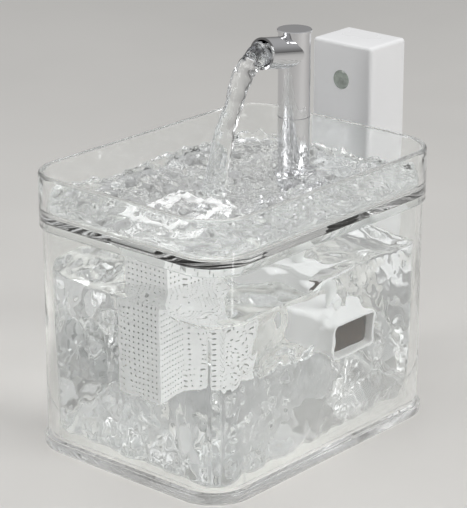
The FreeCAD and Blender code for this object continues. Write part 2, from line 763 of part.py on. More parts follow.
def make_basket():
    """The white filter basket: an open box with square holes in every side and in the floor."""
    body = new_body("filter_basket")
    half = "filter_width/2"
    near, far = "(-filter_middle - filter_depth/2)", "(-filter_middle + filter_depth/2)"
    lip = new_sketch(body, "XY", "tray_floor_top")
    rectangle(lip, f"-{half} - filter_lip", f"{half} + filter_lip",
              f"{near} - filter_lip", f"{far} + filter_lip")
    pad(body, lip, "filter_lip_height")
    case = new_sketch(body, "XY", "filter_bottom")
    rectangle(case, f"-{half}", half, near, far)
    pad(body, case, "tray_floor_top - filter_bottom")
    inside = new_sketch(body, "XY", FILTER_FLOOR)
    rectangle(inside, f"-{half} + filter_wall", f"{half} - filter_wall",
              f"{near} + filter_wall", f"{far} - filter_wall")
    pocket(body, inside, f"tray_floor_top + filter_lip_height - {FILTER_FLOOR}")
    low = "(filter_bottom + hole_pitch)"
    rise = "(hole_rows - 1)*hole_pitch"
    for plane, offset, depth, first, columns in (
            ("XZ", f"-{far}", "filter_depth", "0", "hole_columns_narrow"),
            ("YZ", f"-{half}", "filter_width", "-filter_middle", "hole_columns_wide")):
        start = f"({first} - ({columns} - 1)*hole_pitch/2)"
        seed_sketch = new_sketch(body, plane, offset)
        rectangle(seed_sketch, f"{start} - hole_side/2", f"{start} + hole_side/2",
                  f"{low} - hole_side/2", f"{low} + hole_side/2")
        seed = pocket(body, seed_sketch, depth)
        grid_cut(body, seed, seed_sketch, f"({columns} - 1)*hole_pitch", rise, columns, "hole_rows")
    return keep("filter_basket", body)


def make_filter_packs():
    """The resin, carbon and sponge packs, stacked in the basket with a small gap round them."""
    side = "(filter_width/2 - filter_wall - pack_gap)"
    reach = "(filter_depth/2 - filter_wall - pack_gap)"
    level = FILTER_FLOOR
    for label, height in (("resin_pack", "resin_height"), ("carbon_pack", "carbon_height"),
                          ("filter_sponge", "sponge_height")):
        block = box(label, f"-{side}", side, f"-filter_middle - {reach}",
                    f"-filter_middle + {reach}", level, f"{level} + {height}")
        keep(label, block)
        level = f"({level} + {height})"


# Tower

def make_shell():
    """The white tower shell, open behind, with the sensor hole and the slot for the tank's rail."""
    body = new_body("tower_shell")
    half = "tower_width/2"
    block = new_sketch(body, "XY", "foot_stand")
    rectangle(block, f"-{half}", half, TOWER_FRONT, TOWER_BACK)
    pad(body, block, "tower_top - foot_stand")
    back, base = value(TOWER_BACK), value("foot_stand")
    round_edges(body, "tower_round", lambda edge: (edge.BoundBox.YMin < back - 1e-3
                                                   and edge.BoundBox.ZMax > base + 1e-3))
    inner = f"({half} - tower_wall)"
    hollow = new_sketch(body, "XZ", f"-{TOWER_BACK}")
    rectangle(hollow, f"-{inner}", inner, "foot_stand + tower_wall", "tower_top - tower_wall")
    pocket(body, hollow, f"{TOWER_BACK} - {TOWER_INNER}")
    boss = new_sketch(body, "XZ", f"-({SLOT_BACK} + tower_wall)")
    rectangle(boss, "-rail_head - 2*tower_wall", "rail_head + 2*tower_wall",
              "foot_stand + tower_wall/2", "rail_top + rail_gap + tower_wall")
    pad(body, boss, f"{SLOT_BACK} + tower_wall - {TOWER_FRONT} - tower_wall/2")
    slot = new_sketch(body, "XY", "foot_stand")
    flare = "(rail_head - rail_neck)/rail_depth"
    neck = f"(rail_neck + rail_gap - {flare}*rail_gap)"
    wide = f"(rail_head + rail_gap + {flare}*rail_gap)"
    polygon(slot, [(f"-{neck}", f"{TOWER_FRONT} - rail_gap"), (neck, f"{TOWER_FRONT} - rail_gap"),
                   (wide, SLOT_BACK), (f"-{wide}", SLOT_BACK)])
    pocket(body, slot, "rail_top + rail_gap - foot_stand")
    eye = new_sketch(body, "XZ", f"-{TOWER_INNER}")
    circle(eye, "0", "lens_level", "(lens_radius + fit_gap)")
    pocket(body, eye, "tower_wall")
    for x in ("-1", "1"):
        for z in (SCREW_LOW, SCREW_HIGH):
            post = new_sketch(body, "XZ", f"-{COVER_FRONT}")
            circle(post, f"{x}*{SCREW_X}", z, "boss_radius")
            pad(body, post, f"{COVER_FRONT} - {TOWER_INNER} + tower_wall/2")
            drill = new_sketch(body, "XZ", f"-{COVER_FRONT}")
            circle(drill, f"{x}*{SCREW_X}", z, "screw_radius")
            pocket(body, drill, "screw_length - cover_plate")
    return keep("tower_shell", body)


SCREW_X = "(tower_width/2 - screw_inset)"
SCREW_LOW = "(foot_stand + 2*screw_inset)"
SCREW_HIGH = "(tower_top - 1.5*screw_inset)"


def make_cover():
    """The rear plate of the tower with its openings and the standoffs of the board."""
    body = new_body("tower_cover")
    side = "(tower_width/2 - tower_wall - cover_gap)"
    plate = new_sketch(body, "XZ", f"-{COVER_BACK}")
    rectangle(plate, f"-{side}", side, "foot_stand + tower_wall + cover_gap",
              "tower_top - tower_wall - cover_gap")
    pad(body, plate, "cover_plate")
    for x in ("-1", "1"):
        for z in ("(board_bottom + standoff)", "(board_top - standoff)"):
            post = new_sketch(body, "XZ", f"-{COVER_FRONT}")
            circle(post, f"{x}*(board_width/2 - standoff)", z, "standoff_radius")
            pad(body, post, "standoff")
    openings = [("0", "button_level", "(button_radius + button_gap)"),
                ("(board_width/4)", "light_level", "(light_radius + fit_gap)")]
    for x in ("-1", "1"):
        for z in (SCREW_LOW, SCREW_HIGH):
            openings.append((f"{x}*{SCREW_X}", z, "(screw_radius + fit_gap)"))
    for x, z, radius in openings:
        hole = new_sketch(body, "XZ", f"-{COVER_BACK}")
        circle(hole, x, z, radius)
        pocket(body, hole, "cover_plate")
    port = new_sketch(body, "XZ", f"-{COVER_BACK}")
    rectangle(port, "-socket_width/2 - 0.8", "socket_width/2 + 0.8",
              "socket_level - socket_height/2 - 1.2", "socket_level + socket_height/2 + 0.8")
    pocket(body, port, "cover_plate")
    return keep("tower_cover", body)


def make_tower_parts():
    """Lens, sensor, board, cells, cradle, coil, switch, socket, light pipe, screws and feet."""
    lens = new_body("sensor_lens")
    outline = new_sketch(lens, "XY", "lens_level")
    back = f"({TOWER_INNER} + lens_flange_thickness)"
    points = [("0", back), ("lens_radius + lens_flange", back),
              ("lens_radius + lens_flange", TOWER_INNER), ("lens_radius", TOWER_INNER),
              ("lens_radius", TOWER_FRONT)]
    for share in (0.85, 0.5):
        height = round(math.sqrt(1 - share * share), 4)
        points.append((f"lens_radius*{share}", f"{TOWER_FRONT} - lens_dome*{height}"))
    points.append(("0", f"{TOWER_FRONT} - lens_dome"))
    polygon(outline, points)
    turn(lens, outline)
    keep("sensor_lens", lens)
    keep("sensor_can", cylinder("can", "Y", "0", f"{back} + cover_gap", "lens_level", "can_radius",
                                f"{BOARD_FRONT} - {back} - cover_gap"))
    board = box("board", "-board_width/2", "board_width/2", BOARD_FRONT, BOARD_BACK,
                "board_bottom", "board_top")
    keep("circuit_board", board)
    y = f"({COVER_FRONT} - cell_radius - 1)"
    cells = [cylinder(f"cell_{name}", "Z", f"{sign}cell_spacing/2", y, "cell_bottom",
                      "cell_radius", "cell_length") for name, sign in (("a", ""), ("b", "-"))]
    keep("battery_cells", fuse("cells", cells))
    side = "(cell_spacing/2 + cell_radius - cradle_inset)"
    cradle = box("cradle_block", f"-{side}", side, f"{COVER_FRONT} - cradle_depth", COVER_FRONT,
                 "cell_bottom - cradle_margin", "cell_bottom + cell_length + cradle_margin")
    seats = [cylinder(f"seat_{name}", "Z", f"{sign}cell_spacing/2", y, "cell_bottom",
                      "(cell_radius + cell_gap)", "cell_length + cell_gap")
             for name, sign in (("a", ""), ("b", "-"))]
    keep("battery_cradle", cut("cradle_cut", cradle, seats))
    keep("switch", box("switch_block", "-3", "3", BOARD_BACK,
                       f"{COVER_FRONT} - button_gap - 1.5 - button_travel - button_gap",
                       "button_level - 3", "button_level + 3"))
    keep("charge_socket", box("socket_block", "-socket_width/2", "socket_width/2", BOARD_BACK,
                              f"{COVER_FRONT} + 0.4",
                              "socket_level - socket_height/2", "socket_level + socket_height/2"))
    keep("light_pipe", cylinder("pipe", "Y", "board_width/4", BOARD_BACK, "light_level",
                                "light_radius", f"{COVER_BACK} - {BOARD_BACK}"))
    screws, feet = [], []
    for x in (-1, 1):
        for z in (SCREW_LOW, SCREW_HIGH):
            name = f"{len(screws)}"
            shank = cylinder(f"shank_{name}", "Y", f"{x}*{SCREW_X}",
                             f"{COVER_BACK} - screw_length", z, "screw_radius", "screw_length")
            head = cylinder(f"screw_head_{name}", "Y", f"{x}*{SCREW_X}", COVER_BACK, z,
                            "screw_head_radius", "screw_head_height")
            screws.append(fuse(f"screw_{name}", [shank, head]))
        feet.append(box(f"foot_{len(feet)}", f"{x}*foot_from_middle - foot_width/2",
                        f"{x}*foot_from_middle + foot_width/2",
                        f"{TOWER_BACK} - foot_width/2 - foot_length",
                        f"{TOWER_BACK} - foot_width/2", "0", "foot_stand"))
    keep("cover_screws", group("cover_screws_group", screws))
    keep("tower_feet", group("tower_feet_group", feet))


def group(name, things):
    """Several separate solids kept as one piece."""
    result = DOC.addObject("Part::Compound", name)
    result.Links = things
    return result


def make_button():
    """The mode button: a stem through the cover with a flange that keeps it in."""
    flange = cylinder("button_flange", "Y", "0", f"{COVER_FRONT} - button_gap - 1.5",
                      "button_level", "(button_radius + 1.5)", "1.5")
    stem = cylinder("button_stem", "Y", "0", f"{COVER_FRONT} - button_gap - 1.5", "button_level",
                    "button_radius", f"{COVER_BACK} + button_proud - {COVER_FRONT} + button_gap + 1.5")
    keep("mode_button", fuse("button_fuse", [flange, stem]))


def make_flap():
    """The soft flap over the charging socket, with a nub that fills the opening."""
    plate = box("flap_plate", "-flap_width/2", "flap_width/2", f"{COVER_BACK} + cover_gap",
                f"{COVER_BACK} + cover_gap + flap_thickness", "socket_level - 0.5*flap_height",
                "socket_level + 0.5*flap_height")
    nub = box("flap_nub", "-socket_width/2", "socket_width/2", f"{COVER_FRONT} + 0.7",
              f"{COVER_BACK} + cover_gap + 0.5", "socket_level - 0.8", "socket_level + 1.6")
    keep("socket_flap", fuse("flap_fuse", [plate, nub]))


TOWER_PIECES = ("tower_shell", "tower_cover", "sensor_lens", "sensor_can", "circuit_board",
                "battery_cells", "battery_cradle", "switch", "charge_socket", "light_pipe",
                "cover_screws", "tower_feet", "mode_button", "socket_flap")


def shift_tower():
    """The tower's pieces are drawn about X=0 and stand a little to one side of it."""
    for piece in PIECES:
        if piece.Label not in TOWER_PIECES:
            continue
        bound = dict(piece.ExpressionEngine).get(".Placement.Base.x")
        words = f"({bound}) + Sizes.tower_shift" if bound else "Sizes.tower_shift"
        piece.setExpression(".Placement.Base.x", words)


def build():
    make_tank()
    make_tray()
    make_lower_column()
    make_column_fixings()
    make_swivel_ring()
    make_head()
    make_sleeve()
    make_pump()
    make_outlet()
    make_intake()
    make_rotor()
    make_basket()
    make_filter_packs()
    make_shell()
    make_cover()
    make_tower_parts()
    make_button()
    make_flap()
    shift_tower()
    DOC.recompute()


def check_and_write():
    """Refuse a failed object or a broken shape, then write each piece to its file."""
    for thing in DOC.Objects:
        if "Invalid" in thing.State or "Error" in thing.State:
            raise RuntimeError(f"{thing.Label} failed: {thing.State}")
    for piece in PIECES:
        if piece.Shape.isNull() or not piece.Shape.isValid() or not piece.Shape.Solids:
            raise RuntimeError(f"{piece.Label} has no valid solid")
    os.makedirs("parts", exist_ok=True)
    for piece in PIECES:
        piece.Shape.exportStep(f"parts/{piece.Label}.step")
        print(f"{piece.Label}: {len(piece.Shape.Solids)} solid, {piece.Shape.Volume / 1000:.2f} cm3")


build()
check_and_write()
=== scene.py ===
import math

import bmesh
import bpy
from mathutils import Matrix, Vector, noise


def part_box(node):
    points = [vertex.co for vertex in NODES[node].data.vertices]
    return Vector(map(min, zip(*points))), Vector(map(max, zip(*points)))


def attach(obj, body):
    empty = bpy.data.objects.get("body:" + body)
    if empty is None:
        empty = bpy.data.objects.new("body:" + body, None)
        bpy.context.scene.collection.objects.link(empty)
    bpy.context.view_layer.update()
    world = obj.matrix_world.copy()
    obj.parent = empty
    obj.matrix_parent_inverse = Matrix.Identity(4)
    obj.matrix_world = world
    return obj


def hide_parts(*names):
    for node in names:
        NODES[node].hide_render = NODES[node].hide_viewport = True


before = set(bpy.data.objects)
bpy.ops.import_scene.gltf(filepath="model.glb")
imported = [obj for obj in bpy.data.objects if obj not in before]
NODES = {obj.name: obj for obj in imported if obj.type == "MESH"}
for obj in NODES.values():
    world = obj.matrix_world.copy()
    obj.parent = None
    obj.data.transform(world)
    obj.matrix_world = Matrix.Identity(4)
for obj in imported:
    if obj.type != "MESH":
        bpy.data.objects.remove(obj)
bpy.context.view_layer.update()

MM = 0.001

# Sizes shared with the construction, in millimetres
TRAY_LOW, TRAY_HIGH = (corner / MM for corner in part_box("tray"))
TANK_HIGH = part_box("tank")[1] / MM
BASKET_LOW, BASKET_HIGH = (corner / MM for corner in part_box("filter_basket"))
HEAD_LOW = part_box("faucet_head")[0] / MM
SHELL_LOW, SHELL_HIGH = (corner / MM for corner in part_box("tower_shell"))
COLUMN_LOW, COLUMN_HIGH = (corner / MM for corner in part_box("lower_column"))

WIDTH = TRAY_HIGH.x - TRAY_LOW.x
DEPTH = TRAY_HIGH.y - TRAY_LOW.y
CORNER = 25.0
RIM = TRAY_HIGH.z
LIP = TRAY_LOW.z
TANK_TOP = TANK_HIGH.z
TRAY_FLOOR = 3.0
TRAY_FLOOR_TOP = TANK_TOP + TRAY_FLOOR
TRAY_WALL = 3.4
SKIRT_WALL = 3.0
TANK_INSET = 1.75
TANK_WALL = 3.2
TANK_FLOOR = 4.0
FLANGE = 5.5
FAUCET_Y = (COLUMN_LOW.y + COLUMN_HIGH.y) / 2
RAIL_NECK = 5.0
RAIL_HEAD = 7.0
RAIL_LOW = 14.0
RAIL_HIGH = 94.0
RAIL_DEPTH = 4.0
BASKET_WALL = 1.3
BASKET_LIP = 3.0
WINDOW_GAP = 0.5
COLUMN_HOLE = 6.05
TANK_WATER = 103.0
TRAY_WATER = 142.5
STREAM_LANDING = Vector((1.0, -19.0, 0))


# Materials

def new_material(name):
    """A node material, with its nodes and links."""
    material = bpy.data.materials.new(name)
    material.use_nodes = True
    return material, material.node_tree.nodes, material.node_tree.links


def set_shader(shader, **values):
    """Set sockets of a Principled shader by short names."""
    names = {
        "color": "Base Color", "roughness": "Roughness", "metallic": "Metallic", "ior": "IOR",
        "transmission": "Transmission Weight", "coat": "Coat Weight",
        "coat_roughness": "Coat Roughness", "specular": "Specular IOR Level",
    }
    for key, number in values.items():
        shader.inputs[names[key]].default_value = number


def add_noise(material_nodes, links, scale, detail=4.0, rough=0.55):
    """A noise texture fixed to the object."""
    coordinates = material_nodes.new("ShaderNodeTexCoord")
    texture = material_nodes.new("ShaderNodeTexNoise")
    texture.inputs["Scale"].default_value = scale
    texture.inputs["Detail"].default_value = detail
    texture.inputs["Roughness"].default_value = rough
    links.new(coordinates.outputs["Object"], texture.inputs["Vector"])
    return texture


def add_bump(material_nodes, links, shader, scale, strength, distance):
    """A noise bump on a shader, distance in metres."""
    texture = add_noise(material_nodes, links, scale, 2.0)
    node = material_nodes.new("ShaderNodeBump")
    node.inputs["Strength"].default_value = strength
    node.inputs["Distance"].default_value = distance
    links.new(texture.outputs["Fac"], node.inputs["Height"])
    links.new(node.outputs["Normal"], shader.inputs["Normal"])


def ramp(material_nodes, links, source, low, high, start=0.35, end=0.65):
    """A colour or grey ramp between two values of a texture."""
    node = material_nodes.new("ShaderNodeValToRGB")
    node.color_ramp.elements[0].position = start
    node.color_ramp.elements[1].position = end
    node.color_ramp.elements[0].color = low
    node.color_ramp.elements[1].color = high
    links.new(source, node.inputs["Fac"])
    return node


def grey(level):
    """A grey with full alpha."""
    return (level, level, level, 1.0)


def surface(name, color, roughness, scale=60.0, tone=0.04, wear=0.06, bump=0.0, bump_scale=900.0,
            **more):
    """A solid surface whose tone and gloss vary a little, with a fine bump."""
    material, nodes, links = new_material(name)
    shader = nodes["Principled BSDF"]
    set_shader(shader, **more)
    texture = add_noise(nodes, links, scale)
    dark = tuple(part * (1 - tone) for part in color[:3]) + (1.0,)
    light = tuple(min(1.0, part * (1 + tone * 0.5)) for part in color[:3]) + (1.0,)
    tones = ramp(nodes, links, texture.outputs["Fac"], dark, light)
    links.new(tones.outputs["Color"], shader.inputs["Base Color"])
    gloss = ramp(nodes, links, texture.outputs["Fac"], grey(max(0.0, roughness - wear)),
                 grey(roughness + wear))
    links.new(gloss.outputs["Color"], shader.inputs["Roughness"])
    if bump:
        add_bump(nodes, links, shader, bump_scale, bump, 0.0002)
    return material


def clear(name, color, ior, roughness=0.0, bump=0.0, bump_scale=40.0, distance=0.0004):
    """A transparent moulded plastic or a liquid; the faint bump bends what is seen through it."""
    material, nodes, links = new_material(name)
    shader = nodes["Principled BSDF"]
    set_shader(shader, color=color, roughness=roughness, ior=ior, transmission=1.0)
    if bump:
        add_bump(nodes, links, shader, bump_scale, bump, distance)
    return material


CLEAR = clear("clear_plastic", (0.975, 0.985, 0.98, 1), 1.47, 0.0, 0.02, 25.0)
WATER = clear("water", (0.985, 0.995, 0.995, 1), 1.333)
CHROME = surface("chrome", (0.7, 0.7, 0.715), 0.035, 30.0, 0.02, 0.015, metallic=1.0)
WHITE = surface("white_shell", (0.86, 0.86, 0.865), 0.32, 18.0, 0.02, 0.05, 0.05, 2500.0,
                specular=0.45)
SLEEVE = surface("white_sleeve", (0.85, 0.85, 0.85), 0.4, 25.0, 0.03, 0.06, 0.05, 1800.0)
MESH = surface("white_mesh", (0.86, 0.86, 0.855), 0.55, 45.0, 0.05, 0.08, 0.12, 1500.0)
LENS = surface("sensor_lens", (0.33, 0.37, 0.33), 0.12, 240.0, 0.3, 0.05, coat=1.0,
               coat_roughness=0.03)
BLACK_RUBBER = surface("black_rubber", (0.03, 0.03, 0.032), 0.7, 80.0, 0.2, 0.08, 0.3, 900.0)
SILICONE = surface("silicone", (0.78, 0.79, 0.78), 0.45, 60.0, 0.04, 0.08, 0.1, 700.0)
NYLON = surface("nylon", (0.75, 0.75, 0.73), 0.5, 60.0, 0.05, 0.08, 0.1, 900.0)
STEEL = surface("steel", (0.6, 0.6, 0.6), 0.3, 120.0, 0.06, 0.1, metallic=1.0)
DARK = surface("dark_plastic", (0.05, 0.05, 0.055), 0.5, 60.0, 0.2, 0.08, 0.15, 1200.0)
COPPER = surface("copper", (0.75, 0.36, 0.18), 0.35, 300.0, 0.25, 0.1, metallic=1.0)
MAGNET = surface("magnet", (0.08, 0.08, 0.085), 0.45, 100.0, 0.2, 0.1, metallic=0.6)
FOAM = surface("intake_foam", (0.036, 0.018, 0.007), 0.9, 700.0, 0.75, 0.05, 1.0, 1600.0,
               specular=0.1)
SPONGE = surface("filter_floss", (0.84, 0.84, 0.83), 0.85, 420.0, 0.2, 0.05, 0.8, 1400.0)
CARBON = surface("carbon", (0.03, 0.03, 0.03), 0.6, 500.0, 0.6, 0.2, 1.0, 1100.0)
RESIN = surface("resin", (0.55, 0.36, 0.14), 0.35, 500.0, 0.45, 0.1, 1.0, 1100.0)
BOARD = surface("board", (0.03, 0.16, 0.07), 0.4, 300.0, 0.35, 0.1, 0.2, 900.0)
CELL = surface("cell", (0.08, 0.2, 0.45), 0.3, 60.0, 0.1, 0.05)
LIGHT = surface("light_guide", (0.75, 0.82, 0.8), 0.2, 60.0, 0.05, 0.05)

NODE_MATERIALS = {
    "tank": CLEAR, "tray": CLEAR, "lower_column": CHROME, "column_gasket": SILICONE,
    "column_nut": NYLON, "swivel_washer": CHROME, "swivel_ring": BLACK_RUBBER,
    "riser_pipe": SILICONE, "outlet_port": SLEEVE, "pump_sleeve": SLEEVE, "pump_body": DARK,
    "stator_coil": COPPER, "rotor_pin": STEEL, "chamber_cover": DARK, "intake_foam": FOAM,
    "impeller": NYLON, "rotor_magnet": MAGNET, "faucet_head": CHROME, "head_cap": CHROME,
    "filter_basket": MESH, "resin_pack": RESIN, "carbon_pack": CARBON, "filter_sponge": SPONGE,
    "tower_shell": WHITE, "tower_cover": WHITE, "sensor_lens": LENS, "sensor_can": STEEL,
    "circuit_board": BOARD, "battery_cells": CELL, "battery_cradle": DARK, "switch": DARK,
    "charge_socket": STEEL, "light_pipe": LIGHT, "cover_screws": STEEL,
    "tower_feet": BLACK_RUBBER, "mode_button": WHITE, "socket_flap": SILICONE,
}


def dress_nodes():
    """Give every carried-over node its material."""
    for name, node in NODES.items():
        node.data.materials.clear()
        node.data.materials.append(NODE_MATERIALS[name])


# Mesh helpers

def new_mesh(name, points, faces):
    """A mesh from points in millimetres."""
    mesh = bpy.data.meshes.new(name)
    mesh.from_pydata([Vector(point) * MM for point in points], [], faces)
    return mesh


def linked(name, data):
    """A new object in the scene."""
    thing = bpy.data.objects.new(name, data)
    bpy.context.scene.collection.objects.link(thing)
    return thing


def finish_mesh(name, mesh, material, body, sharp):
    """A visible piece that rides on a body, smooth except along edges sharper than this."""
    work = bmesh.new()
    work.from_mesh(mesh)
    bmesh.ops.remove_doubles(work, verts=work.verts, dist=1e-7)
    bmesh.ops.recalc_face_normals(work, faces=work.faces)
    for face in work.faces:
        face.smooth = True
    for edge in work.edges:
        if len(edge.link_faces) == 2:
            edge.smooth = edge.calc_face_angle(0) < math.radians(sharp)
    work.to_mesh(mesh)
    work.free()
    mesh.materials.clear()
    mesh.materials.append(material)
    thing = linked(name, mesh)
    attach(thing, body)
    return thing


def applied(thing, name):
    """The mesh of an object with its modifiers applied, and the object removed."""
    bpy.context.view_layer.update()
    graph = bpy.context.evaluated_depsgraph_get()
    mesh = bpy.data.meshes.new_from_object(thing.evaluated_get(graph))
    mesh.name = name
    bpy.data.objects.remove(thing)
    return mesh


def scratch(name, points, faces):
    """A closed mesh that only serves to make another."""
    mesh = new_mesh(name, points, faces)
    work = bmesh.new()
    work.from_mesh(mesh)
    bmesh.ops.recalc_face_normals(work, faces=work.faces)
    work.to_mesh(mesh)
    work.free()
    return linked(name, mesh)


def outline(inset, per_corner=14):
    """Points round the tank's rounded rectangle, moved in by inset."""
    half_x, half_y = WIDTH / 2 - inset, DEPTH / 2 - inset
    radius = max(CORNER - inset, 0.5)
    points = []
    for side_x, side_y, start in ((1, 1, 0), (-1, 1, 90), (-1, -1, 180), (1, -1, 270)):
        centre_x, centre_y = side_x * (half_x - radius), side_y * (half_y - radius)
        for step in range(per_corner + 1):
            angle = math.radians(start + 90 * step / per_corner)
            points.append((centre_x + radius * math.cos(angle),
                           centre_y + radius * math.sin(angle)))
    return points


def arc(centre_a, centre_z, radius, start, end, steps=5):
    """Profile points on an arc, as inset and height, angles in degrees."""
    points = []
    for step in range(steps + 1):
        angle = math.radians(start + (end - start) * step / steps)
        points.append((centre_a + radius * math.cos(angle), centre_z + radius * math.sin(angle)))
    return points


def tube_faces(rings, count):
    """Faces of a skin through rings of count points each, with a cap at both ends."""
    faces = []
    for ring in range(rings - 1):
        for column in range(count):
            following = (column + 1) % count
            faces.append((ring * count + column, ring * count + following,
                          (ring + 1) * count + following, (ring + 1) * count + column))
    faces.append(tuple(range(count)))
    last = (rings - 1) * count
    faces.append(tuple(range(last, last + count)))
    return faces


def loft(profile, per_corner=14):
    """A closed skin through the outline at each inset and height."""
    points = []
    for inset, height in profile:
        points += [(x, y, height) for x, y in outline(inset, per_corner)]
    return points, tube_faces(len(profile), 4 * (per_corner + 1))


def turned(profile, centre_x, centre_y, steps=64):
    """A closed skin turned about a vertical axis, from radius and height."""
    points = []
    for radius, height in profile:
        for step in range(steps):
            angle = 2 * math.pi * step / steps
            points.append((centre_x + radius * math.cos(angle),
                           centre_y + radius * math.sin(angle), height))
    return points, tube_faces(len(profile), steps)


def block(low, high):
    """A box between two corners."""
    points = [(x, y, z) for x in (low[0], high[0]) for y in (low[1], high[1])
              for z in (low[2], high[2])]
    faces = [(0, 1, 3, 2), (4, 6, 7, 5), (0, 4, 5, 1), (2, 3, 7, 6), (0, 2, 6, 4), (1, 5, 7, 3)]
    return points, faces


def combined(thing, others, operation):
    """The union or difference of an object and other closed meshes, which are removed."""
    for other in others:
        modifier = thing.modifiers.new("combine", "BOOLEAN")
        modifier.operation = operation
        modifier.solver = "EXACT"
        modifier.object = other
    mesh = applied(thing, thing.name)
    for other in others:
        bpy.data.objects.remove(other)
    return mesh


# Tank and tray

def rail_prism():
    """The dovetail rail behind the tank that the tower hangs on."""
    middle = (SHELL_LOW.x + SHELL_HIGH.x) / 2
    front, back = SHELL_LOW.y, SHELL_LOW.y + RAIL_DEPTH
    root = DEPTH / 2 - TANK_INSET - 1.0
    plan = [(middle - RAIL_NECK, root), (middle + RAIL_NECK, root), (middle + RAIL_NECK, front),
            (middle + RAIL_HEAD, back), (middle - RAIL_HEAD, back), (middle - RAIL_NECK, front)]
    points = [(x, y, z) for z in (RAIL_LOW, RAIL_HIGH) for x, y in plan]
    return points, tube_faces(2, len(plan))


def make_tank():
    """The clear tank with rounded edges, and the rail behind it."""
    wall_out = TANK_INSET
    wall_in = TANK_INSET + TANK_WALL
    foot_round, floor_round, edge, gap = 1.1, 4.0, 0.4, 0.3
    shoulder = LIP - gap
    rebate = SKIRT_WALL + gap
    profile = arc(foot_round, foot_round, foot_round, 270, 180)
    profile += arc(foot_round, FLANGE - foot_round, foot_round, 180, 90)
    profile += [(wall_out - 0.25, FLANGE), (wall_out, FLANGE + 0.35)]
    profile += [(wall_out, shoulder - edge), (wall_out + edge, shoulder), (rebate, shoulder),
                (rebate, TANK_TOP - edge), (rebate + edge, TANK_TOP), (wall_in - edge, TANK_TOP),
                (wall_in, TANK_TOP - edge)]
    profile += arc(wall_in + floor_round, TANK_FLOOR + floor_round, floor_round, 180, 270)
    body = scratch("tank_body", *loft(profile))
    mesh = combined(body, [scratch("rail", *rail_prism())], "UNION")
    tank = finish_mesh("tank_clear", mesh, CLEAR, "tank", 40)
    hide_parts("tank")
    tank.visible_shadow = False


def make_tray():
    """The clear tray: basin, round rim, skirt, and the two openings in its floor."""
    rim_half = TRAY_WALL / 2
    basin_round, lip_round, skirt_round = 4.0, 0.9, 0.5
    profile = [(SKIRT_WALL + 0.01, TANK_TOP), (SKIRT_WALL, LIP + skirt_round)]
    profile += arc(SKIRT_WALL - skirt_round, LIP + skirt_round, skirt_round, 0, -90, 3)
    profile += arc(lip_round, LIP + lip_round, lip_round, 270, 180)
    profile += arc(rim_half, RIM - rim_half, rim_half, 180, 0, 12)
    profile += arc(TRAY_WALL + basin_round, TRAY_FLOOR_TOP + basin_round, basin_round, 180, 270)
    body = scratch("tray_body", *loft(profile))
    below, above = TANK_TOP - 2, TRAY_FLOOR_TOP + 2
    inset = BASKET_LIP - WINDOW_GAP
    window = scratch("window", *block((BASKET_LOW.x + inset, BASKET_LOW.y + inset, below),
                                      (BASKET_HIGH.x - inset, BASKET_HIGH.y - inset, above)))
    hole = scratch("hole", *turned([(COLUMN_HOLE, below), (COLUMN_HOLE, above)],
                                   0, FAUCET_Y, 48))
    mesh = combined(body, [window, hole], "DIFFERENCE")
    tray = finish_mesh("tray_clear", mesh, CLEAR, "tray", 40)
    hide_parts("tray")
    tray.visible_shadow = False


# Water

def remeshed(name, points, faces, voxel):
    """A closed skin rebuilt as an even net of small quads, in millimetres."""
    thing = scratch(name, points, faces)
    modifier = thing.modifiers.new("even", "REMESH")
    modifier.mode = "VOXEL"
    modifier.voxel_size = voxel * MM
    return applied(thing, name)


def ripple(point, scale, seed, octaves=3):
    """Smooth noise about zero at a wavelength of about scale millimetres."""
    total, weight = 0.0, 1.0
    place = Vector(point) / scale + Vector((seed, seed * 1.7, seed * 2.3))
    for _ in range(octaves):
        total += weight * noise.noise(place)
        place = place * 2.03 + Vector((3.1, 1.7, 5.3))
        weight *= 0.5
    return total


def crest(point, scale, seed):
    """Choppy waves: sharp ridges and round troughs."""
    bend = Vector((ripple(point, scale * 1.6, seed + 5, 2), ripple(point, scale * 1.6, seed + 9, 2),
                   0)) * scale * 0.9
    value = ripple(Vector(point) + bend, scale, seed, 3)
    return 0.45 - abs(value) * 1.6


# Calm places on the water's sides: the axis the side faces, the middle, half width, half height
QUIET_PLACES = (("x", (67.0, 27.0, 60.0), 24.0, 21.0), ("x", (67.0, -18.0, 98.0), 20.0, 16.0),
                ("y", (30.0, -91.5, 84.0), 26.0, 52.0))


def liveliness(place):
    """How strongly the water's sides ripple: less in front of the pump and the filter."""
    calmest, core, fade, reach_inward = 0.12, 0.75, 0.6, 8
    least = 1.0
    for axis, (x, y, z), half_width, half_height in QUIET_PLACES:
        over, along = place.x - x, place.y - y
        across, run = (over, along) if axis == "x" else (along, over)
        if abs(across) >= reach_inward:
            continue
        away = math.hypot(run / half_width, (place.z - z) / half_height)
        share = max(0.0, min(1.0, (away - core) / fade))
        least = min(least, calmest + (1 - calmest) * share * share * (3 - 2 * share))
    return least


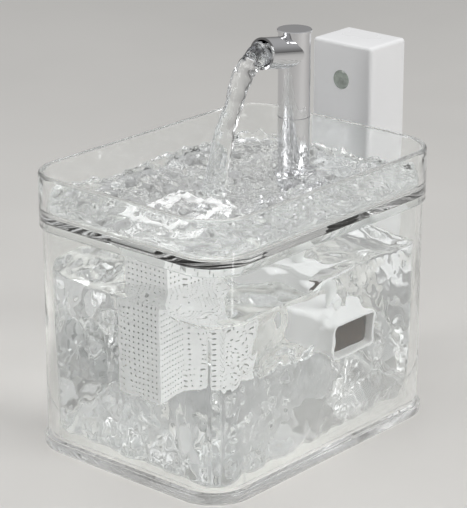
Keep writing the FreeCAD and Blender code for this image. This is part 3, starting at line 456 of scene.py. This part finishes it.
def make_tank_water():
    """The tank's water: calm waves above, and sides that ripple just inside the walls."""
    side_gap = 1.3
    inset = TANK_INSET + TANK_WALL + side_gap
    swell_height, swell_width, side_depth, side_width, deepest = 5.5, 46, 1.5, 17, 2.6
    top_band, side_band = 2.5, 3
    profile = [(inset + 3, TANK_FLOOR + 0.5), (inset, TANK_FLOOR + 4), (inset, TANK_WATER)]
    points, faces = loft(profile, 10)
    mesh = remeshed("tank_water", points, faces, 1.8)
    half_x, half_y = WIDTH / 2 - inset, DEPTH / 2 - inset
    for vertex in mesh.vertices:
        place = vertex.co / MM
        if place.z > TANK_WATER - top_band:
            place.z += swell_height * ripple((place.x, place.y, 0), swell_width, 2.1, 3)
        side_x = abs(place.x) - (half_x - side_band)
        side_y = abs(place.y) - (half_y - side_band)
        if max(side_x, side_y) > 0 or place.z < TANK_FLOOR + side_band:
            depth = 1.0 + side_depth * ripple(place, side_width, 7.7, 3)
            depth = 1.0 + (max(0.0, min(deepest, depth)) - 1.0) * liveliness(place)
            if abs(place.x) / half_x > abs(place.y) / half_y * 0.98:
                across = Vector((math.copysign(1, place.x), 0, 0))
            else:
                across = Vector((0, math.copysign(1, place.y), 0))
            place = place - across * depth
        vertex.co = place * MM
    water = finish_mesh("tank_water", mesh, WATER, "tank", 180)
    water.visible_shadow = False


def make_tray_water():
    """The tray's water: choppy all over, with rings and a hump where the stream lands."""
    inset = TRAY_WALL + 0.5
    profile = [(inset + 3.4, TRAY_FLOOR_TOP + 0.4), (inset, TRAY_FLOOR_TOP + 3.8),
               (inset, TRAY_WATER)]
    points, faces = loft(profile, 10)
    mesh = remeshed("tray_water", points, faces, 1.15)
    wave_height, wave_width, chop_height, chop_width = 5.0, 30, 2.6, 12
    hump_height, hump_width = 4.0, 11
    ring_height, ring_width, ring_reach = 1.6, 2.6, 26
    shallowest = 2.6
    for vertex in mesh.vertices:
        place = vertex.co / MM
        if place.z > TRAY_WATER - 1.2:
            flat = Vector((place.x, place.y, 0))
            away = (flat - STREAM_LANDING).length
            chop = (wave_height * crest(flat, wave_width, 3.3)
                    + chop_height * crest(flat, chop_width, 8.1))
            hump = hump_height * math.exp(-(away / hump_width) ** 2)
            rings = ring_height * math.cos(away / ring_width) * math.exp(-away / ring_reach)
            place.z = max(place.z + chop + hump + rings, TRAY_FLOOR_TOP + shallowest)
        vertex.co = place * MM
    water = finish_mesh("tray_water", mesh, WATER, "tray", 180)
    water.visible_shadow = False


def make_stream():
    """The stream: it fills the spout's mouth, arcs over and falls into the tray."""
    mouth_y, mouth_z = HEAD_LOW.y + 1.5, 214.0
    inside, reach = -9.0, 51.0
    drop, rise = 0.0445, math.tan(math.radians(9))
    settled = 26
    mouth_width, mouth_height, mouth_sink = 7.2, 6.6, 0.9
    fall_width, fall_height, foot_spread, unevenness = 5.6, 4.6, 2.6, 1.5
    rings, around = 121, 40
    sideways = Vector((1, 0, 0))
    points = []
    for ring in range(rings):
        share = ring / (rings - 1)
        along = inside + reach * share ** 0.85
        fallen = max(0.0, along)
        y = mouth_y - along
        z = mouth_z + rise * along - drop * fallen * fallen
        forward = Vector((0, -1, rise - 2 * drop * fallen)).normalized()
        up = sideways.cross(forward) * -1
        fall = max(0.0, min(1.0, along / settled))
        wide = mouth_width * (1 - fall) + fall_width * fall
        thick = mouth_height * (1 - fall) + fall_height * fall
        wide += foot_spread * max(0.0, share - 0.8) / 0.2
        sink = -mouth_sink * (1 - fall)
        for step in range(around):
            angle = 2 * math.pi * step / around
            offset = (sideways * math.cos(angle) * wide
                      + up * (math.sin(angle) * thick + sink))
            place = Vector((0.4 * fall, y, z)) + offset
            if along >= 0:
                uneven = ripple((place.x, place.y, place.z * 0.45), 9, 4.2, 3)
                place += offset.normalized() * (unevenness * uneven)
            points.append(tuple(place))
    mesh = new_mesh("stream", points, tube_faces(rings, around))
    stream = finish_mesh("stream", mesh, WATER, "head", 70)
    stream.visible_shadow = False


# Filter basket

def hole_panel(points, faces, place, lines_u, lines_v, inner_u, inner_v, thickness, radius):
    """A wall with a round hole in each cell. place(u, v, depth) gives a point of the wall."""
    sides = 8
    skins = ((lines_u, lines_v, 0), (inner_u, inner_v, thickness))
    for column in range(len(lines_u) - 1):
        for row in range(len(lines_v) - 1):
            low_u = max(lines_u[column], inner_u[column])
            high_u = min(lines_u[column + 1], inner_u[column + 1])
            low_v = max(lines_v[row], inner_v[row])
            high_v = min(lines_v[row + 1], inner_v[row + 1])
            centre_u, centre_v = (low_u + high_u) / 2, (low_v + high_v) / 2
            rims = []
            for us, vs, depth in skins:
                start = len(points)
                rim = start + 4
                corners = ((us[column], vs[row]), (us[column + 1], vs[row]),
                           (us[column + 1], vs[row + 1]), (us[column], vs[row + 1]))
                points.extend(place(u, v, depth) for u, v in corners)
                for side in range(sides):
                    angle = 2 * math.pi * (side + 0.5) / sides - 3 * math.pi / 4
                    points.append(place(centre_u + radius * math.cos(angle),
                                        centre_v + radius * math.sin(angle), depth))
                for corner in range(4):
                    here, following = start + corner, start + (corner + 1) % 4
                    first, second, before = (rim + (corner * 2 + shift) % sides
                                             for shift in (0, 1, -1))
                    faces.append((here, following, second, first))
                    faces.append((here, first, before))
                rims.append(rim)
            outer, inner = rims
            for side in range(sides):
                following = (side + 1) % sides
                faces.append((outer + side, outer + following, inner + following, inner + side))


def cell_lines(low, high, margin, pitch):
    """Even cell borders from low to high, with a wider first and last cell."""
    count = max(1, round((high - low - 2 * margin) / pitch))
    step = (high - low - 2 * margin) / count
    lines = [low + margin + step * index for index in range(count + 1)]
    lines[0], lines[-1] = low, high
    return lines


def drawn_in(lines, start, end):
    """The same cell borders between nearer ends."""
    return [start] + lines[1:-1] + [end]


def make_basket():
    """The white basket with rows of small round holes in its walls and floor, and its lip."""
    wall, lip, radius, edge = BASKET_WALL, BASKET_LIP, 0.62, 0.4
    low = Vector((BASKET_LOW.x + lip, BASKET_LOW.y + lip, BASKET_LOW.z))
    high = Vector((BASKET_HIGH.x - lip, BASKET_HIGH.y - lip, BASKET_HIGH.z))
    top = TRAY_FLOOR_TOP
    margin, pitch, plain_band = 0.8, 3.4, 1.5
    lines_x = cell_lines(low.x, high.x, margin, pitch)
    lines_y = cell_lines(low.y, high.y, margin, pitch)
    lines_z = cell_lines(low.z, top - plain_band, margin, pitch)
    inner_x = drawn_in(lines_x, low.x + wall, high.x - wall)
    inner_y = drawn_in(lines_y, low.y + wall, high.y - wall)
    inner_z = drawn_in(lines_z, low.z + wall, lines_z[-1])
    points, faces = [], []
    for x, direction in ((low.x, 1), (high.x, -1)):
        hole_panel(points, faces, lambda u, v, depth: (x + direction * depth, u, v),
                   lines_y, lines_z, inner_y, inner_z, wall, radius)
    for y, direction in ((low.y, 1), (high.y, -1)):
        hole_panel(points, faces, lambda u, v, depth: (u, y + direction * depth, v),
                   lines_x, lines_z, inner_x, inner_z, wall, radius)
    hole_panel(points, faces, lambda u, v, depth: (u, v, low.z + depth),
               lines_x, lines_y, inner_x, inner_y, wall, radius)

    def frame_ring(inset, height):
        """Add a ring of points above the panels' cell borders, and give its first index."""
        xs = drawn_in(lines_x, low.x + inset, high.x - inset)
        ys = drawn_in(lines_y, low.y + inset, high.y - inset)
        plan = [(x, ys[0]) for x in xs[:-1]] + [(xs[-1], y) for y in ys[:-1]]
        plan += [(x, ys[-1]) for x in xs[:0:-1]] + [(xs[0], y) for y in ys[:0:-1]]
        start = len(points)
        points.extend((x, y, height) for x, y in plan)
        return start

    around = 2 * (len(lines_x) + len(lines_y) - 2)
    levels = [(0, lines_z[-1]), (0, top), (-lip + 0.3, top), (-lip, top + 0.3),
              (-lip, high.z - edge), (-lip + edge, high.z), (wall - edge, high.z),
              (wall, high.z - edge), (wall, lines_z[-1])]
    starts = [frame_ring(inset, height) for inset, height in levels]
    for first, second in zip(starts, starts[1:]):
        for side in range(around):
            following = (side + 1) % around
            faces.append((first + side, first + following, second + following, second + side))
    mesh = new_mesh("filter_basket_fine", points, faces)
    basket = finish_mesh("filter_basket_fine", mesh, MESH, "filter", 30)
    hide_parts("filter_basket")


# Floor, light and camera

def make_floor():
    """The plain pale floor, just under the tank so that their faces don't coincide."""
    size, gap = 6000, 0.4
    mesh = new_mesh("floor", [(-size, -size, 0), (size, -size, 0), (size, size, 0),
                              (-size, size, 0)], [(0, 1, 2, 3)])
    floor = linked("floor", mesh)
    floor.location.z = -gap * MM
    material = surface("floor", (0.66, 0.645, 0.62), 0.6, 3.0, 0.03, 0.1)
    mesh.materials.append(material)


def aim(thing, target):
    """Turn a lamp or camera towards a point."""
    thing.rotation_mode = "QUATERNION"
    thing.rotation_quaternion = (Vector(target) - thing.location).to_track_quat("-Z", "Y")


def area_light(name, place, size_x, size_y, power):
    """A white rectangular lamp that looks at the object."""
    data = bpy.data.lights.new(name, "AREA")
    data.shape = "RECTANGLE"
    data.size, data.size_y = size_x, size_y
    data.energy = power
    lamp = linked(name, data)
    lamp.location = place
    aim(lamp, (0, 0, 0.1))
    return lamp


def make_light():
    """Three soft lamps, a low strip that only reflections show, and a pale sky."""
    area_light("key", (1.0, 0.25, 0.95), 0.55, 0.8, 6.8)
    area_light("top", (-0.25, 0.15, 1.3), 0.7, 0.7, 3.4)
    area_light("fill", (-0.6, -1.3, 0.75), 0.5, 0.9, 4.2)
    strip = area_light("strip", (0.255, -0.078, 0.004), 0.03, 0.36, 0.15)
    strip.rotation_mode = "XYZ"
    strip.rotation_euler = (math.pi, 0, math.radians(90))
    strip.visible_camera = False
    strip.visible_diffuse = False
    strip.visible_transmission = False
    world = bpy.data.worlds.new("studio")
    bpy.context.scene.world = world
    world.use_nodes = True
    nodes, links = world.node_tree.nodes, world.node_tree.links
    background = nodes["Background"]
    coordinates = nodes.new("ShaderNodeTexCoord")
    split = nodes.new("ShaderNodeSeparateXYZ")
    links.new(coordinates.outputs["Generated"], split.inputs["Vector"])
    shade = nodes.new("ShaderNodeValToRGB")
    shade.color_ramp.elements[0].position = 0.02
    shade.color_ramp.elements[0].color = (0.26, 0.255, 0.25, 1)
    shade.color_ramp.elements[1].position = 0.9
    shade.color_ramp.elements[1].color = (0.98, 0.99, 1.0, 1)
    middle = shade.color_ramp.elements.new(0.4)
    middle.color = (0.72, 0.72, 0.72, 1)
    links.new(split.outputs["Z"], shade.inputs["Fac"])
    links.new(shade.outputs["Color"], background.inputs["Color"])
    background.inputs["Strength"].default_value = 0.62


def make_camera():
    """The photograph's camera: 41 degrees to the right of the front, 20 degrees above."""
    azimuth, elevation = math.radians(41.108), math.radians(19.679)
    back = Vector((math.sin(azimuth) * math.cos(elevation),
                   -math.cos(azimuth) * math.cos(elevation), math.sin(elevation)))
    target = Vector((-43.07, 47.55, 80.0)) * MM
    distance = 1366.5 * MM
    photo_height, focal_pixels, sensor = 508, 2318.9, 36.0
    data = bpy.data.cameras.new("camera")
    data.sensor_width = sensor
    data.lens = focal_pixels * sensor / photo_height
    data.clip_start, data.clip_end = 0.05, 30.0
    camera = linked("camera", data)
    camera.location = target + back * distance
    aim(camera, target)
    bpy.context.scene.camera = camera


def set_render():
    """Plain colours, and enough bounces for water behind two clear walls."""
    scene = bpy.context.scene
    scene.view_settings.view_transform = "Standard"
    scene.cycles.max_bounces = 48
    scene.cycles.transmission_bounces = 40
    scene.cycles.glossy_bounces = 40
    scene.cycles.transparent_max_bounces = 16


dress_nodes()
make_tank()
make_tray()
make_tank_water()
make_tray_water()
make_stream()
make_basket()
make_floor()
make_light()
make_camera()
set_render()

bpy.context.view_layer.update()
